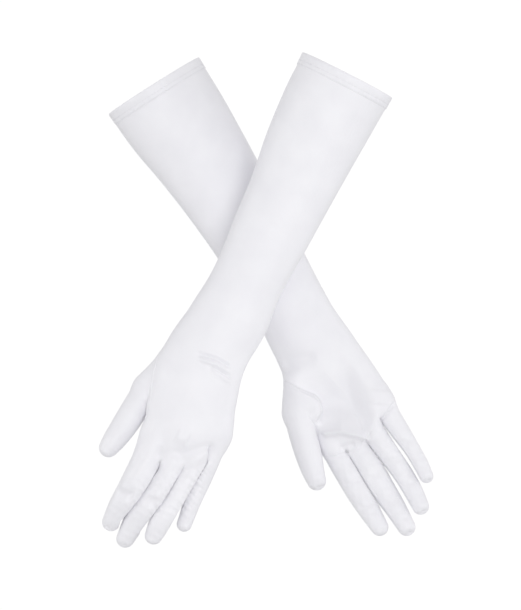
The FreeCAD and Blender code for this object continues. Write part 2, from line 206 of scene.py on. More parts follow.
LEFT = {
    "hand_degrees": -16,
    "forearm_degrees": -11,
    "sections": [
        (-268, 43, 43.2, 43.4, 43.4, 2),
        (-230, 41.8, 41.3, 40.5, 40.5, 2.25),
        (-192, 38.9, 39.5, 35, 35, 2.4),
        (-153, 33.4, 37.9, 30.5, 30.5, 2.4),
        (-115, 30.6, 36.7, 27, 27, 2.4),
        (-77, 27, 34.8, 24.2, 24.2, 2.4),
        (-58, 27, 35.8, 22.6, 22.6, 2.35),
        (-39, 28.8, 38.2, 21.2, 21.2, 2.3),
        (-20, 30.8, 37.6, 20.2, 20.2, 2.3),
        (0, 34.4, 36.8, 19.6, 19.6, 2.3),
        (13, 37.8, 35.8, 18.8, 18.8, 2.4),
        (36, 38, 37.4, 17.8, 17.8, 2.5),
        (50, 36, 38.6, 17, 17.4, 2.5),
        (68, 33.8, 39, 16, 16.4, 2.5),
        (86, 35.2, 38.2, 13.8, 13.4, 2.4),
        (104, 37.6, 36, 11.2, 11.2, 2.3),
    ],
    "relief": ("back", [
        ([(5.5, 76), (-6, 78)], 6, 1.8),
        ([(25, 88)], 9, 1.2),
        ([(11.8, 96)], 5.4, -2.8),
        ([(-6, 91.5)], 5.2, -1.7),
        ([(10, 93), (-4, 90), (-30, 74)], 3.6, -1.6),
        ([(7.9, 3.6), (-10.2, 3.9), (-24.9, 8)], 1.9, -2.2),
        ([(6, 7), (-10, 7.4), (-26, 12)], 1.9, 1.6),
        ([(-6, 10.8), (-28.1, 16.8)], 1.6, -1.5),
        ([(-8, 14), (-29, 20.4)], 1.8, 0.9),
        ([(24, 128), (40, 130)], 3.5, 0.8),
        ([(25.5, 137), (42, 139)], 4.2, -2.3),
        ([(3, 138), (17, 136)], 4.5, -1.5),
        ([(41.5, 172)], 5, -2.4),
        ([(23, 182)], 4, -1.4),
        ([(3, 132), (18, 130)], 3.5, 0.6),
        ([(-18, 128), (-2, 128)], 3.5, 0.4),
    ]),
    "crest": [(38, 76), (24, 80), (14.4, 83), (5, 88), (-3, 93), (-14, 85), (-26, 71),
              (-40, 55)],
    "hollow": (2, 6),
    "ball": [(20, 2.5, 10, 8.6), (21.5, 3, 22, 11.6), (23, 4.5, 36, 12.6), (26, 5, 54, 11.8)],
    "puckers": [
        ("back", [(-29, 86), (-20.6, 116), (-14.5, 146)], 5.5, 0.3, 4.4),
        ("back", [(-33, 80), (-27, 116), (-23, 150)], 5, 0.22, 5),
        ("back", [(-8.2, 104), (0.8, 135), (9.3, 153)], 4, 0.24, 4),
        ("back", [(10.5, 106), (19.4, 134), (31, 160)], 3.4, 0.16, 3.8),
        ("palm", [(-29, 88), (-20.6, 116), (-14.5, 142)], 4, 0.15, 4.2),
        ("palm", [(-8.2, 106), (0.8, 135)], 4, 0.15, 4.2),
    ],
    "cross_seams": [
        [(36, 97), (24, 101), (12, 103)],
        [(9.5, 103), (1, 102.5), (-7, 101)],
        [(-29, 83.5), (-34, 80.5), (-38, 77)],
    ],
    "thenar_seam": [(15, 38.3), (28, 30), (43, 20.4), (55, 22.3), (62, 30)],
    "side_seam": [(15, 39.4), (36, 38.3), (49, 35.6), (62, 34)],
    "web": [(-39, 77), (-29.6, 82), (-20, 95), (-8.2, 102), (10.5, 103), (38, 99)],
    "between": [[(104, 10.4), (134, 19.4), (162, 31.1)], [(104, -8.2), (135, 0.8), (165, 12)],
                [(86, -29.2), (116, -20.6), (142, -14.5), (160, -10)]],
    "digits": {
        "index": {"spread": 8, "fork": 106, "flat": 1.12, "spine": [
            (23.6, -1, 74, 10.8), (23.4, -1.2, 103, 13.2), (25.8, -2.2, 118, 13.4), (29.3, -1.5, 132, 12.4),
            (34.7, 5, 150, 10.6), (38.6, 11, 164.4, 8)]},
        "middle_finger": {"spread": 2.5, "fork": 106, "spine": [
            (2, 0, 78, 9.4), (1.2, -0.5, 104, 10.7), (5.4, -1, 119, 11.4), (10.2, 1, 135, 11.3),
            (18, 7, 154, 10.3), (22.9, 14, 174.8, 8)]},
        "ring": {"spread": -2.5, "fork": 105, "spine": [
            (-17.2, 0, 70, 10.6), (-18.2, 0.5, 98, 10.4), (-12.6, 0.5, 116, 10.2), (-8, 2, 134, 10.3),
            (-2.5, 4, 152, 9.7), (0, 7, 165.2, 7.9)]},
        "little": {"spread": -18, "fork": 90, "spine": [
            (-28.4, 0.5, 56, 10.4), (-28.8, 0.8, 82, 9.3), (-26.8, 3, 106, 8.3), (-24.2, 5.5, 128, 7.3),
            (-22.6, 7.5, 148.6, 6.6)]},
        "thumb": {"spread": 14, "fork": 62, "spine": [
            (28.5, 5, 18, 11), (37.8, 9, 38, 12.4), (45, 11, 62, 12), (52.6, 10.5, 87, 10.9),
            (56.2, 10, 97, 9.8), (58.4, 10, 103, 8.5)]},
    },
}



# ---- small numeric tools ----


def smoothstep(x):
    x = np.clip(x, 0.0, 1.0)
    return x * x * (3 - 2 * x)


def eased_ends(along, reach):
    """1 along a line but for its ends, where it falls to almost 0 over the share reach."""
    return smoothstep(along / reach + 0.15) * smoothstep((1 - along) / reach + 0.15)


def smooth_min(a, b, soft):
    """The lesser of two fields, with a fillet about soft wide where they meet."""
    h = np.clip(0.5 + 0.5 * (b - a) / soft, 0.0, 1.0)
    return b * (1 - h) + a * h - soft * h * (1 - h)


def through(points):
    """A smooth function of the first column through the other columns."""
    table = np.array(points, float)
    table = table[np.argsort(table[:, 0])]
    x, y = table[:, 0], table[:, 1:]
    slope = np.gradient(y, x, axis=0)

    def at(t):
        t = np.clip(np.asarray(t, float), x[0], x[-1])
        k = np.clip(np.searchsorted(x, t, side="right") - 1, 0, len(x) - 2)
        step = x[k + 1] - x[k]
        s = ((t - x[k]) / step)[..., None]
        step = step[..., None]
        near, far = y[k], y[k + 1]
        rise = slope[k] * step, slope[k + 1] * step
        return (near * (2 * s**3 - 3 * s**2 + 1) + far * (3 * s**2 - 2 * s**3)
                + rise[0] * (s**3 - 2 * s**2 + s) + rise[1] * (s**3 - s**2))

    return at


def middle_and_width(shape):
    """The middle u and the half width of cross-sections."""
    return (shape[..., 0] - shape[..., 1]) / 2, (shape[..., 0] + shape[..., 1]) / 2


def smooth_line(points):
    """A smooth line through points, by the distance along it, and its length."""
    points = np.array(points, float)
    steps = np.linalg.norm(np.diff(points[:, :3], axis=0), axis=1)
    reach = np.concatenate([[0.0], np.cumsum(steps)])
    return through(np.column_stack([reach, points])), reach[-1]


def along_spine(points, count):
    """count points, with radii, evenly spaced along a smooth line through a digit's points."""
    line, length = smooth_line(points)
    return line(np.linspace(0.0, length, count))


def tube_field(spine, u, q, w):
    """Signed distance to a round tube through a spine's points, with their radii."""
    nearest = np.inf
    for a, b in zip(spine[:-1], spine[1:]):
        run = b[:3] - a[:3]
        share = (u - a[0]) * run[0] + (q - a[1]) * run[1] + (w - a[2]) * run[2]
        share = np.clip(share / (run @ run), 0.0, 1.0)
        away = np.sqrt((u - a[0] - share * run[0]) ** 2 + (q - a[1] - share * run[1]) ** 2
                       + (w - a[2] - share * run[2]) ** 2)
        nearest = np.minimum(nearest, away - (a[3] + share * (b[3] - a[3])))
    return nearest


def turn(points, pivot, degrees):
    """Points turned in the palm's plane about pivot, from w towards u for positive degrees."""
    lean = np.radians(degrees)
    du, dw = points[:, 0] - pivot[0], points[:, 2] - pivot[2]
    out = points.copy()
    out[:, 0] = pivot[0] + du * np.cos(lean) + dw * np.sin(lean)
    out[:, 2] = pivot[2] - du * np.sin(lean) + dw * np.cos(lean)
    return out


# ---- one glove's shape ----


class Glove:
    """A glove's frame, its sections and its digits, spread as they are meshed."""

    def __init__(self, side):
        lie = RIGHT if side == "right" else LEFT
        self.side = side
        self.lie = lie
        wrist = joints[f"{side}_wrist"]
        self.wrist = np.array(wrist["pos_m"]) / MM
        lean = math.radians(lie["hand_degrees"])
        self.u_axis = np.array([-math.cos(lean), 0.0, -math.sin(lean)])
        self.w_axis = np.array([math.sin(lean), 0.0, -math.cos(lean)])
        self.q_axis = np.array([0.0, -1.0 if side == "right" else 1.0, 0.0])
        self.section = through(lie["sections"])
        self.web = through(lie["web"])
        self.digits = {}
        for name in DIGITS:
            digit = dict(lie["digits"][name])
            spine = np.array(digit["spine"], float)
            first = 1 if name == "thumb" else 0
            digit["pivot"] = spine[first, :3]
            spread = spine.copy()
            spread[first:, :3] = turn(spine[first:, :3], digit["pivot"], digit["spread"])
            digit["spread_spine"] = spread
            self.digits[name] = digit

    def world(self, points):
        """Hand-frame points in the model's frame, still in millimetres."""
        return (self.wrist + points[:, :1] * self.u_axis + points[:, 1:2] * self.q_axis
                + points[:, 2:3] * self.w_axis)

    def hand_field(self, u, q, w):
        """Signed distance, nearly, to the hand and lower forearm without the digits."""
        shape = self.section(w[0, 0, :])
        middle, wide = middle_and_width(shape)
        deep = np.where(q > 0, shape[:, 2], shape[:, 3])
        power = shape[:, 4]
        x = np.abs(u - middle) / wide
        y = np.abs(q) / deep
        x, y = np.maximum(x, 1e-4), np.maximum(y, 1e-4)
        level = (x**power + y**power) ** (1 / power)
        steep = np.sqrt((x ** (power - 1) / wide) ** 2 + (y ** (power - 1) / deep) ** 2)
        tube = (level - 1) / np.maximum(steep * level ** (1 - power), 1e-4)
        cap = w - self.web(u[:, 0, 0])[:, 0][:, None, None]
        return -smooth_min(-tube, -cap, WEB_FILLET)

    def mesh_hand(self):
        """Vertices and quads of the hand with its digits spread, from just above ARM_CUT down."""
        low = np.array(GRID_LOW)
        axes = [np.arange(a, b, VOXEL) for a, b in zip(GRID_LOW, GRID_HIGH)]
        u, q, w = (axes[0][:, None, None], axes[1][None, :, None], axes[2][None, None, :])
        field = self.hand_field(u, q, w)
        spine = along_spine(self.lie["ball"], BALL_STEPS)
        ball = tube_field(spine, u[BALL_REGION[0]], q, w[:, :, BALL_REGION[2]])
        field[BALL_REGION] = smooth_min(field[BALL_REGION], ball, BALL_FILLET)
        fingers = np.full(field.shape, FAR)
        for name in DIGITS:
            digit = self.digits[name]
            spine = along_spine(digit["spread_spine"], SPINE_STEPS)
            reach = spine[:, 3].max() + MARGIN
            starts = (spine[:, :3].min(axis=0) - reach - low) / VOXEL
            ends = (spine[:, :3].max(axis=0) + reach - low) / VOXEL
            part = tuple(slice(max(0, int(a)), int(b)) for a, b in zip(starts, ends))
            uu, qq, ww = u[part[0]], q[:, part[1]], w[:, :, part[2]]
            flat = digit.get("flat", 1.0)
            nearest = tube_field(spine * (1, flat, 1, 1), uu, qq * flat, ww)
            if name == "thumb":
                field = smooth_min(field, fingers, ROOT_FILLET)
                field[part] = smooth_min(field[part], nearest, ROOT_FILLET)
            else:
                fingers[part] = smooth_min(fingers[part], nearest, FORK_FILLET)
        field[:, :, :2] = np.maximum(field[:, :, :2], 1.0)  # closes the surface at the grid's end
        grid = openvdb.FloatGrid()
        grid.copyFromArray(np.ascontiguousarray(field / VOXEL, dtype=np.float32), tolerance=0.0)
        points, quads = grid.convertToQuads(isovalue=0.0)
        return points * VOXEL + low, quads

    def sleeve_ring(self, w, angles):
        """One ring of the sleeve at w, with a point at each angle."""
        shape = self.section(w)
        middle, wide = middle_and_width(shape)
        palm, back, power = shape[2:]
        c, s = np.cos(angles), np.sin(angles)
        deep = np.where(s > 0, palm, back)
        u = middle + wide * np.sign(c) * np.abs(c) ** (2 / power)
        q = deep * np.sign(s) * np.abs(s) ** (2 / power)
        return np.column_stack([u, q, np.full(len(angles), float(w))])

    def hand_points(self, world_points):
        """The model's points, in metres, in the hand frame's millimetres."""
        away = np.atleast_2d(world_points) / MM - self.wrist
        return np.column_stack([away @ self.u_axis, away @ self.q_axis, away @ self.w_axis])

    def spread_lines(self, points):
        """For each finger as meshed, the u of its middle line beside every point."""
        return [through(self.digits[name]["spread_spine"][:, [2, 0]])(points[:, 2])[:, 0]
                for name in FINGERS]

    def closing(self, points):
        """How far each spread point moves as the fingers and thumb close to where they lie."""
        moves = []
        for name in FINGERS:
            digit = self.digits[name]
            moves.append(turn(points, digit["pivot"], -digit["spread"]) - points)
        lines = self.spread_lines(points)
        total = moves[-1]
        for k in (2, 1, 0):
            digit = self.digits[FINGERS[k]]
            fork = min(digit["fork"], self.digits[FINGERS[k + 1]]["fork"])
            # one finger's move passes into the next's sharply at the fork, and softly in the hand
            width = 1.5 + 20.0 * smoothstep((fork - points[:, 2]) / 24.0)
            middle = (lines[k] + lines[k + 1]) / 2
            share = smoothstep((points[:, 0] - middle) / width + 0.5)[:, None]
            total = total + share * (moves[k] - total)
        knuckle = through(KNUCKLES)(points[:, 0])[:, 0]
        total = total * smoothstep((points[:, 2] - knuckle + 26) / 22.0)[:, None]
        thumb = self.digits["thumb"]
        own = turn(points, thumb["pivot"], -thumb["spread"]) - points
        share = self.thumb_share(points)[:, None]
        own = own * smoothstep((points[:, 2] - thumb["pivot"][2]) / 10.0)[:, None]
        return total + share * (own - total)

    def pressed(self, spread, points):
        """Flattens closed fingers against each other where they touch."""
        lines = self.spread_lines(spread)
        on_thumb = self.thumb_share(spread) > 0.5
        out = points.copy()
        for k, between in enumerate(self.lie["between"]):
            wall = through(between)(points[:, 2])[:, 0]
            middle = (lines[k] + lines[k + 1]) / 2
            side = np.where(spread[:, 0] > middle, 1.0, -1.0)
            room = (out[:, 0] - wall) * side - CONTACT
            eased = (room + np.sqrt(room**2 + 0.05)) / 2
            weight = smoothstep((points[:, 2] - between[0][0] - 0.5) / 5.0)
            near = smoothstep(3.0 - np.abs(out[:, 0] - wall) / 4.0)
            weight = np.where(on_thumb, 0.0, weight * near)
            out[:, 0] += (eased - room) * side * weight
        return out

    def thumb_share(self, points):
        """1 on the thumb, 0 on the rest of the hand, for spread points."""
        spine = along_spine(self.digits["thumb"]["spread_spine"], SPINE_STEPS)
        nearest = tube_field(spine, *points.T)
        middle, wide = middle_and_width(self.section(points[:, 2]))
        beyond = points[:, 0] - middle - wide
        return smoothstep((beyond - nearest) / 6.0 + 0.5)

    def bend_forearm(self, points):
        """Turns the straight forearm to where it lies, over a few centimetres at the wrist."""
        weight = 1 - smoothstep((points[:, 2] - TURN_START) / TURN_LENGTH)
        return turn(points, (0.0, 0.0, 0.0), -self.lie["forearm_degrees"] * weight)

    def lay(self, points):
        """From where a point was meshed to where it lies in the hand frame."""
        return self.bend_forearm(self.pressed(points, points + self.closing(points)))

    def owners(self, middles, palm_side):
        """Which piece each face belongs to: 0 for the glove's body, or a digit's number."""
        owner = np.zeros(len(middles), int)
        lines = self.spread_lines(middles)
        away = np.abs(np.column_stack([middles[:, 0] - line for line in lines]))
        nearest = np.argmin(away, axis=1)
        for k, name in enumerate(FINGERS):
            digit = self.digits[name]
            flat = turn(middles, digit["pivot"], -digit["spread"])
            hinge = self.hand_points(joints[f"{self.side}_{name}_base"]["pos_m"])[0]
            owner[(nearest == k) & (flat[:, 2] > hinge[2] - PIECE_LAP)] = k + 1
        w = middles[:, 2]
        thenar = through(self.lie["thenar_seam"])(w)[:, 0]
        behind = through(self.lie["side_seam"])(w)[:, 0]
        edge = np.where(palm_side, thenar, behind)
        low, high = self.lie["thenar_seam"][0][0], self.digits["thumb"]["fork"]
        on_hand = (w > low) & (w <= high) & (middles[:, 0] > edge)
        on_thumb = (w > high) & (self.thumb_share(middles) > 0.5)
        owner[on_hand | on_thumb] = len(DIGITS)
        return owner


def cut_hand(points, quads):
    """The hand's mesh above ARM_CUT, with the ring of vertices along the cut, in order."""
    mesh = bmesh.new()
    vertices = [mesh.verts.new(p) for p in points]
    for quad in quads:
        mesh.faces.new([vertices[k] for k in quad])
    everything = mesh.verts[:] + mesh.edges[:] + mesh.faces[:]
    bmesh.ops.bisect_plane(mesh, geom=everything, dist=0.02, plane_co=(0, 0, ARM_CUT),
                           plane_no=(0, 0, 1), clear_inner=True)
    mesh.verts.index_update()
    where = np.array([vertex.co[:] for vertex in mesh.verts])
    faces = [[vertex.index for vertex in face.verts] for face in mesh.faces]
    rim = [edge for edge in mesh.edges if edge.is_boundary]
    following = {}
    for edge in rim:
        loop = edge.link_loops[0]
        following[loop.link_loop_next.vert.index] = loop.vert.index
    ring = [next(iter(following))]
    while following[ring[-1]] != ring[0]:
        ring.append(following[ring[-1]])
    mesh.free()
    return where, faces, ring


def face_normals(points, faces):
    """Area-weighted normals of triangles, quads and pentagons."""
    first = np.array([face[0] for face in faces])
    total = np.zeros((len(faces), 3))
    longest = max(len(face) for face in faces)
    for k in range(1, longest - 1):
        b = np.array([face[k] if k < len(face) else face[0] for face in faces])
        c = np.array([face[k + 1] if k + 1 < len(face) else face[0] for face in faces])
        total += np.cross(points[b] - points[first], points[c] - points[first])
    return total


def vertex_normals(points, faces):
    """Unit normals at the vertices."""
    across = face_normals(points, faces)
    total = np.zeros_like(points)
    for k in range(max(len(face) for face in faces)):
        having = np.array([j for j, face in enumerate(faces) if k < len(face)])
        corner = np.array([faces[j][k] for j in having])
        np.add.at(total, corner, across[having])
    return total / np.maximum(np.linalg.norm(total, axis=1), 1e-9)[:, None]


def beside(points, line):
    """Distances in the palm's plane from a polyline of (u, w), and shares of the way along it."""
    where = points[:, [0, 2]]
    steps = np.linalg.norm(np.diff(line, axis=0), axis=1)
    nearest = np.full(len(points), np.inf)
    along = np.zeros(len(points))
    for a, b, step, start in zip(line[:-1], line[1:], steps, np.cumsum(steps) - steps):
        share = np.clip(((where - a) @ (b - a)) / step**2, 0.0, 1.0)
        away = np.linalg.norm(where - a - share[:, None] * (b - a), axis=1)
        along = np.where(away < nearest, start + share * step, along)
        nearest = np.minimum(nearest, away)
    return nearest, along / steps.sum()


def ridge(points, line, breadth):
    """1 on a polyline of (u, w), falling away beside it and towards its ends; or on one point."""
    line = np.array(line, float)
    if len(line) == 1:
        away = np.linalg.norm(points[:, [0, 2]] - line[0], axis=1)
        return np.exp(-((away / breadth) ** 2))
    away, along = beside(points, line)
    return np.exp(-((away / breadth) ** 2)) * eased_ends(along, 0.25)


def band(low, high):
    """Quads between two closed rings of vertex numbers."""
    corners = zip(low, high, high[1:] + high[:1], low[1:] + low[:1])
    return [list(quad) for quad in corners]


def tube_faces(count, size):
    """Faces of a closed tube: count rings of size points, one ring after another."""
    faces = []
    for a in range(0, (count - 1) * size, size):
        for k in range(size):
            m = (k + 1) % size
            faces.append([a + k, a + m, a + size + m, a + size + k])
    faces.append(list(range(size))[::-1])
    faces.append([(count - 1) * size + k for k in range(size)])
    return faces


def build_glove(side):
    """The glove's whole skin where it lies: points, normals, faces and owners."""
    glove = Glove(side)
    points, quads = glove.mesh_hand()
    points, faces, ring = cut_hand(points, quads)
    shape = glove.section(points[ring][:, 2])
    middle, wide = middle_and_width(shape)
    x = (points[ring][:, 0] - middle) / wide
    deep = np.where(points[ring][:, 1] > 0, shape[:, 2], shape[:, 3])
    y = points[ring][:, 1] / deep
    half = shape[:, 4] / 2
    angles = np.arctan2(np.sign(y) * np.abs(y) ** half, np.sign(x) * np.abs(x) ** half)
    rows = round((SLEEVE + ARM_CUT) / RING_PITCH)
    levels = np.linspace(-SLEEVE + 1.0, ARM_CUT, rows + 1)[:-1]
    count = len(ring)
    first = len(points)
    sleeve = np.vstack([glove.sleeve_ring(w, angles) for w in levels])
    points = np.vstack([points, sleeve])
    starts = [first + k * count for k in range(len(levels))]
    bands = [list(range(start, start + count)) for start in starts] + [ring]
    for low, high in zip(bands[:-1], bands[1:]):
        faces += band(low, high)
    middles = np.array([points[face].mean(axis=0) for face in faces])
    facing = face_normals(points, faces)[:, 1] > 0
    owner = glove.owners(middles, facing)
    laid = glove.lay(points)
    laid = dent(glove, laid, vertex_normals(laid, faces))
    glove.points = laid
    glove.faces = faces
    glove.owner = owner
    glove.normals = vertex_normals(laid, faces)
    glove.rest_tree = BVHTree.FromPolygons([p[:] for p in laid.tolist()], faces)
    return glove


def crest_distance(points, line):
    """Distance in the palm's plane from a polyline, negative on its fingers' side."""
    away, _ = beside(points, np.array(line, float))
    level = through(line)(points[:, 0])[:, 0]
    return np.where(points[:, 2] < level, away, -away)


def palm_hollow(glove, points):
    """The lift of the palm from its heel down into its hollow and up to a crest that crosses it
    under the fingers, with the ball of the thumb standing proud along its seam."""
    rise, drop = glove.lie["hollow"]
    away = crest_distance(points, glove.lie["crest"])
    slope = np.exp(-np.maximum(away, 0.0) / CREST_SLOPE)
    bowl = (1 - slope) * (1 - smoothstep((away - 14.0) / 44.0))
    top = np.where(away > 0, slope, np.exp(-((away / CREST_LIP) ** 2)))
    u = points[:, 0]
    ball = through(glove.lie["thenar_seam"])(points[:, 2])[:, 0]
    inside = smoothstep((ball - u + 1.5) / 4.5) * smoothstep((u + 27.0) / 26.0)
    return rise * top * smoothstep((u + 12.0) / 12.0) * inside - drop * bowl * inside


def dent(glove, points, normals):
    """Presses the hand's hollows, pads, knuckles and folds into the skin, and gathers the cloth
    along the fingers' seams."""
    toward = {"palm": normals[:, 1] * 2.0, "back": -normals[:, 1] * 2.0}
    lift = np.zeros(len(points))
    face, marks = glove.lie["relief"]
    for line, breadth, height in marks:
        lift += height * ridge(points, line, breadth) * smoothstep(toward[face])
    lift += palm_hollow(glove, points) * smoothstep(toward["palm"])
    u, _, w = points.T
    crumple = np.sin(0.52 * u + 0.31 * w) * np.sin(0.47 * w - 0.2 * u + 1.0)
    crumple += np.sin(0.33 * w + 0.74 * u + 2.0) * np.sin(0.71 * w - 0.5 * u)
    facing = smoothstep(np.abs(normals[:, 1]) * 2.0 - 0.6)
    lift += CRUMPLE * crumple * smoothstep((w - 88.0) / 20.0) * facing
    for face, line, breadth, height, pitch in glove.lie["puckers"]:
        shown = smoothstep(toward[face] + 0.4)
        run = np.array(line[-1], float) - line[0]
        run /= np.linalg.norm(run)
        along = points[:, [0, 2]] @ run
        across = points[:, [0, 2]] @ np.array([run[1], -run[0]])
        phase = (along + 0.35 * across + 0.9 * np.sin(along * 0.37 + across * 0.2)) / pitch
        wave = np.sin(2 * math.pi * phase) + 0.5 * np.sin(2 * math.pi * phase / 1.7 + 1)
        lift += height * wave * ridge(points, line, breadth) * shown
    return points + normals * lift[:, None]


# ---- meshes ----


def new_mesh(name, points, faces, normals=None):
    """A smooth object from points in the model's frame, in millimetres."""
    mesh = bpy.data.meshes.new(name)
    mesh.from_pydata((np.asarray(points) * MM).tolist(), [], faces)
    mesh.polygons.foreach_set("use_smooth", [True] * len(mesh.polygons))
    obj = bpy.data.objects.new(name, mesh)
    bpy.context.scene.collection.objects.link(obj)
    if normals is not None:
        mesh.normals_split_custom_set_from_vertices(np.asarray(normals).tolist())
    mesh.update()
    return obj


def shell_piece(glove, name, number):
    """One of a glove's pieces, with the inner side of its cloth and the edges between."""
    faces = [face for face, owner in zip(glove.faces, glove.owner) if owner == number]
    used = sorted({v for face in faces for v in face})
    number_of = {v: k for k, v in enumerate(used)}
    outer = glove.points[used]
    normals = glove.normals[used]
    inner = outer - normals * CLOTH
    size = len(used)
    skin = [[number_of[v] for v in face] for face in faces]
    lining = [[v + size for v in reversed(face)] for face in skin]
    sides = dict.fromkeys(side for face in skin for side in zip(face, face[1:] + face[:1]))
    rim = [[b, a, a + size, b + size] for a, b in sides if (b, a) not in sides]
    points = glove.world(np.vstack([outer, inner]))
    turned = normals @ np.vstack([glove.u_axis, glove.q_axis, glove.w_axis])
    return new_mesh(name, points, skin + lining + rim, np.vstack([turned, -turned]))


def wound(glove, faces):
    """Faces turned round where the hand frame is left-handed."""
    if np.dot(np.cross(glove.u_axis, glove.q_axis), glove.w_axis) > 0:
        return faces
    return [face[::-1] for face in faces]


# ---- hems and seams ----

HEM_OUTLINE = [
    (11.6, -1.1), (6.0, -1.2), (0.8, -1.1), (0.15, -0.7), (0.0, -0.25), (0.15, 0.25), (0.7, 0.55),
    (2.5, 0.62), (5.0, 0.6), (6.3, 0.54), (7.2, 0.42), (8.1, 0.54), (9.3, 0.54), (10.2, 0.44),
    (10.7, 0.36), (11.2, 0.36), (11.7, 0.16), (11.9, -0.3),
]  # distance from the mouth, height over the skin
HEM_COLUMNS = 368           # points round the hem
THREAD_ROWS = (7.2, 10.7)   # from the mouth
STITCHES = 92               # in each row
STITCH_SHARE = 0.72         # of a stitch's pitch that its thread covers
STITCH_LIFT = 0.46          # the thread's middle over the skin
THREAD = 0.2                # the thread's radius
# a stitch's rings: distance past its start as a share of its length, the same in radii, and size
STITCH_RINGS = [(0, -1, 0.1), (0, -0.6, 0.75), (0.2, 0, 1.0), (0.5, 0, 1.05), (0.8, 0, 1.0),
                (1, 0.6, 0.75), (1, 1, 0.1)]
STITCH_SIDES = 6
WELT_WIDTH, WELT_HEIGHT = 1.6, 0.5
STRIP_WELT = (1.1, 0.26)    # the same along a finger's side strips
STRIP_SPAN = (0.36, 0.93)   # shares of the finger's length that those welts run between
STRIP_LEAN = 38             # degrees from the finger's side to its strip's edges
# a welt's outline, as shares of its width across and of its height up
WELT_OUTLINE = [(-0.5, -0.8), (-0.42, 0.1), (-0.25, 0.75), (0.0, 1.0), (0.25, 0.75), (0.42, 0.1),
                (0.5, -0.8)]


def hem_skin(glove, from_mouth, angles):
    """Points of the sleeve's skin near the mouth, with their outward directions, laid."""
    w = -SLEEVE + from_mouth
    ring = glove.sleeve_ring(w, angles)
    shape = glove.section(w)
    wide, deep = middle_and_width(shape)[1], shape[2]
    outward = np.column_stack([np.cos(angles) / wide, np.sin(angles) / deep, np.zeros(len(angles))])
    outward /= np.linalg.norm(outward, axis=1)[:, None]
    laid = glove.bend_forearm(ring)
    return laid, glove.bend_forearm(ring + outward) - laid


def hem_lift(angles, from_mouth, lift):
    """The folded cloth's height, a little gathered by its two rows of stitches."""
    gather = np.exp(-((from_mouth - 8.9) / 3.0) ** 2)
    ripple = 0.10 * np.sin(46 * angles) + 0.07 * np.sin(31 * angles + 1.3)
    ripple += 0.05 * np.sin(19 * angles)
    return lift + (ripple * gather if lift > 0 else 0.0)


def make_hem(glove):
    """The mouth's hem: the cloth folded in and stitched down, with a rounded edge."""
    angles = np.linspace(0, 2 * math.pi, HEM_COLUMNS, endpoint=False)
    rows = []
    for from_mouth, lift in HEM_OUTLINE:
        skin, outward = hem_skin(glove, from_mouth, angles)
        rows.append(skin + outward * np.reshape(hem_lift(angles, from_mouth, lift), (-1, 1)))
    rings = np.arange(len(rows) * HEM_COLUMNS).reshape(len(rows), -1).tolist()
    faces = []
    for low, high in zip(rings, rings[1:] + rings[:1]):
        faces += band(low, high)
    points = glove.world(np.vstack(rows))
    return new_mesh(f"{glove.side}_hem_band", points, wound(glove, faces))


def capsule(start, end, up, radius):
    """Rings of points round a short thread between two points, bowed up a little."""
    run = end - start
    run /= np.linalg.norm(run)
    side = np.cross(run, up)
    side /= np.linalg.norm(side)
    length = np.linalg.norm(end - start)
    points = []
    for share, radii, size in STITCH_RINGS:
        along = length * share + radius * radii
        bow = 0.12 * math.sin(math.pi * min(max(along / length, 0), 1))
        middle = start + run * along + up * bow
        for k in range(STITCH_SIDES):
            angle = 2 * math.pi * k / STITCH_SIDES
            spoke = math.cos(angle) * side + math.sin(angle) * up
            points.append(middle + radius * size * spoke)
    return points


def make_stitches(glove):
    """Two rows of running stitches round the hem."""
    one = tube_faces(len(STITCH_RINGS), STITCH_SIDES)
    points, faces = [], []
    for row, from_mouth in enumerate(THREAD_ROWS):
        pitch = 2 * math.pi / STITCHES
        starts = np.arange(STITCHES) * pitch + row * pitch / 2
        skin, outward = hem_skin(glove, from_mouth, starts)
        ends, _ = hem_skin(glove, from_mouth, starts + pitch * STITCH_SHARE)
        for a, b, up in zip(skin, ends, outward):
            faces += [[v + len(points) for v in face] for face in one]
            points += capsule(a + up * STITCH_LIFT, b + up * STITCH_LIFT, up, THREAD)
    return new_mesh(f"{glove.side}_hem_stitches", glove.world(np.array(points)), faces)


def skin_line(glove, rays):
    """Where rays, each a start and a direction, meet the laid skin, with its normals there."""
    hits = []
    for start, toward in rays:
        place, _, index, _ = glove.rest_tree.ray_cast(Vector(start), Vector(toward).normalized())
        if place is not None:
            hits.append((np.array(place), glove.normals[glove.faces[index]].mean(axis=0)))
    return hits


def finger_seam(glove, name, facing, lean, first, last):
    """Skin points along one side of a finger, between two shares of its length. facing is +1 for
    the thumb's side, and lean the angle in degrees from there towards the palm."""
    digit = glove.lie["digits"][name]
    spine = along_spine(digit["spine"], SEAM_STEPS)
    rays = []
    for k in range(int(first * SEAM_STEPS), int(last * SEAM_STEPS)):
        run = spine[min(k + 1, SEAM_STEPS - 1), :3] - spine[k - 1, :3]
        run /= np.linalg.norm(run)
        side = np.array([run[2], 0.0, -run[0]])
        side /= np.linalg.norm(side)
        ahead = side * facing * math.cos(math.radians(lean))
        ahead = ahead + np.array([0, math.sin(math.radians(lean)), 0])
        rays.append((spine[k, :3], ahead))
    return skin_line(glove, rays)


def flat_seam(glove, line, face):
    """Skin points under a smooth line of (u, w) on the hand's palm or back."""
    curve, length = smooth_line(line)
    side = 1.0 if face == "palm" else -1.0
    places = curve(np.linspace(0, length, max(8, int(length / SEAM_PITCH))))
    return skin_line(glove, [((u, FAR * side, w), (0, -side, 0)) for u, w in places])


def edge_seam(glove, levels):
    """Skin points down the glove's thumb side."""
    return skin_line(glove, [((200.0, 0.0, w), (-1, 0, 0)) for w in levels])


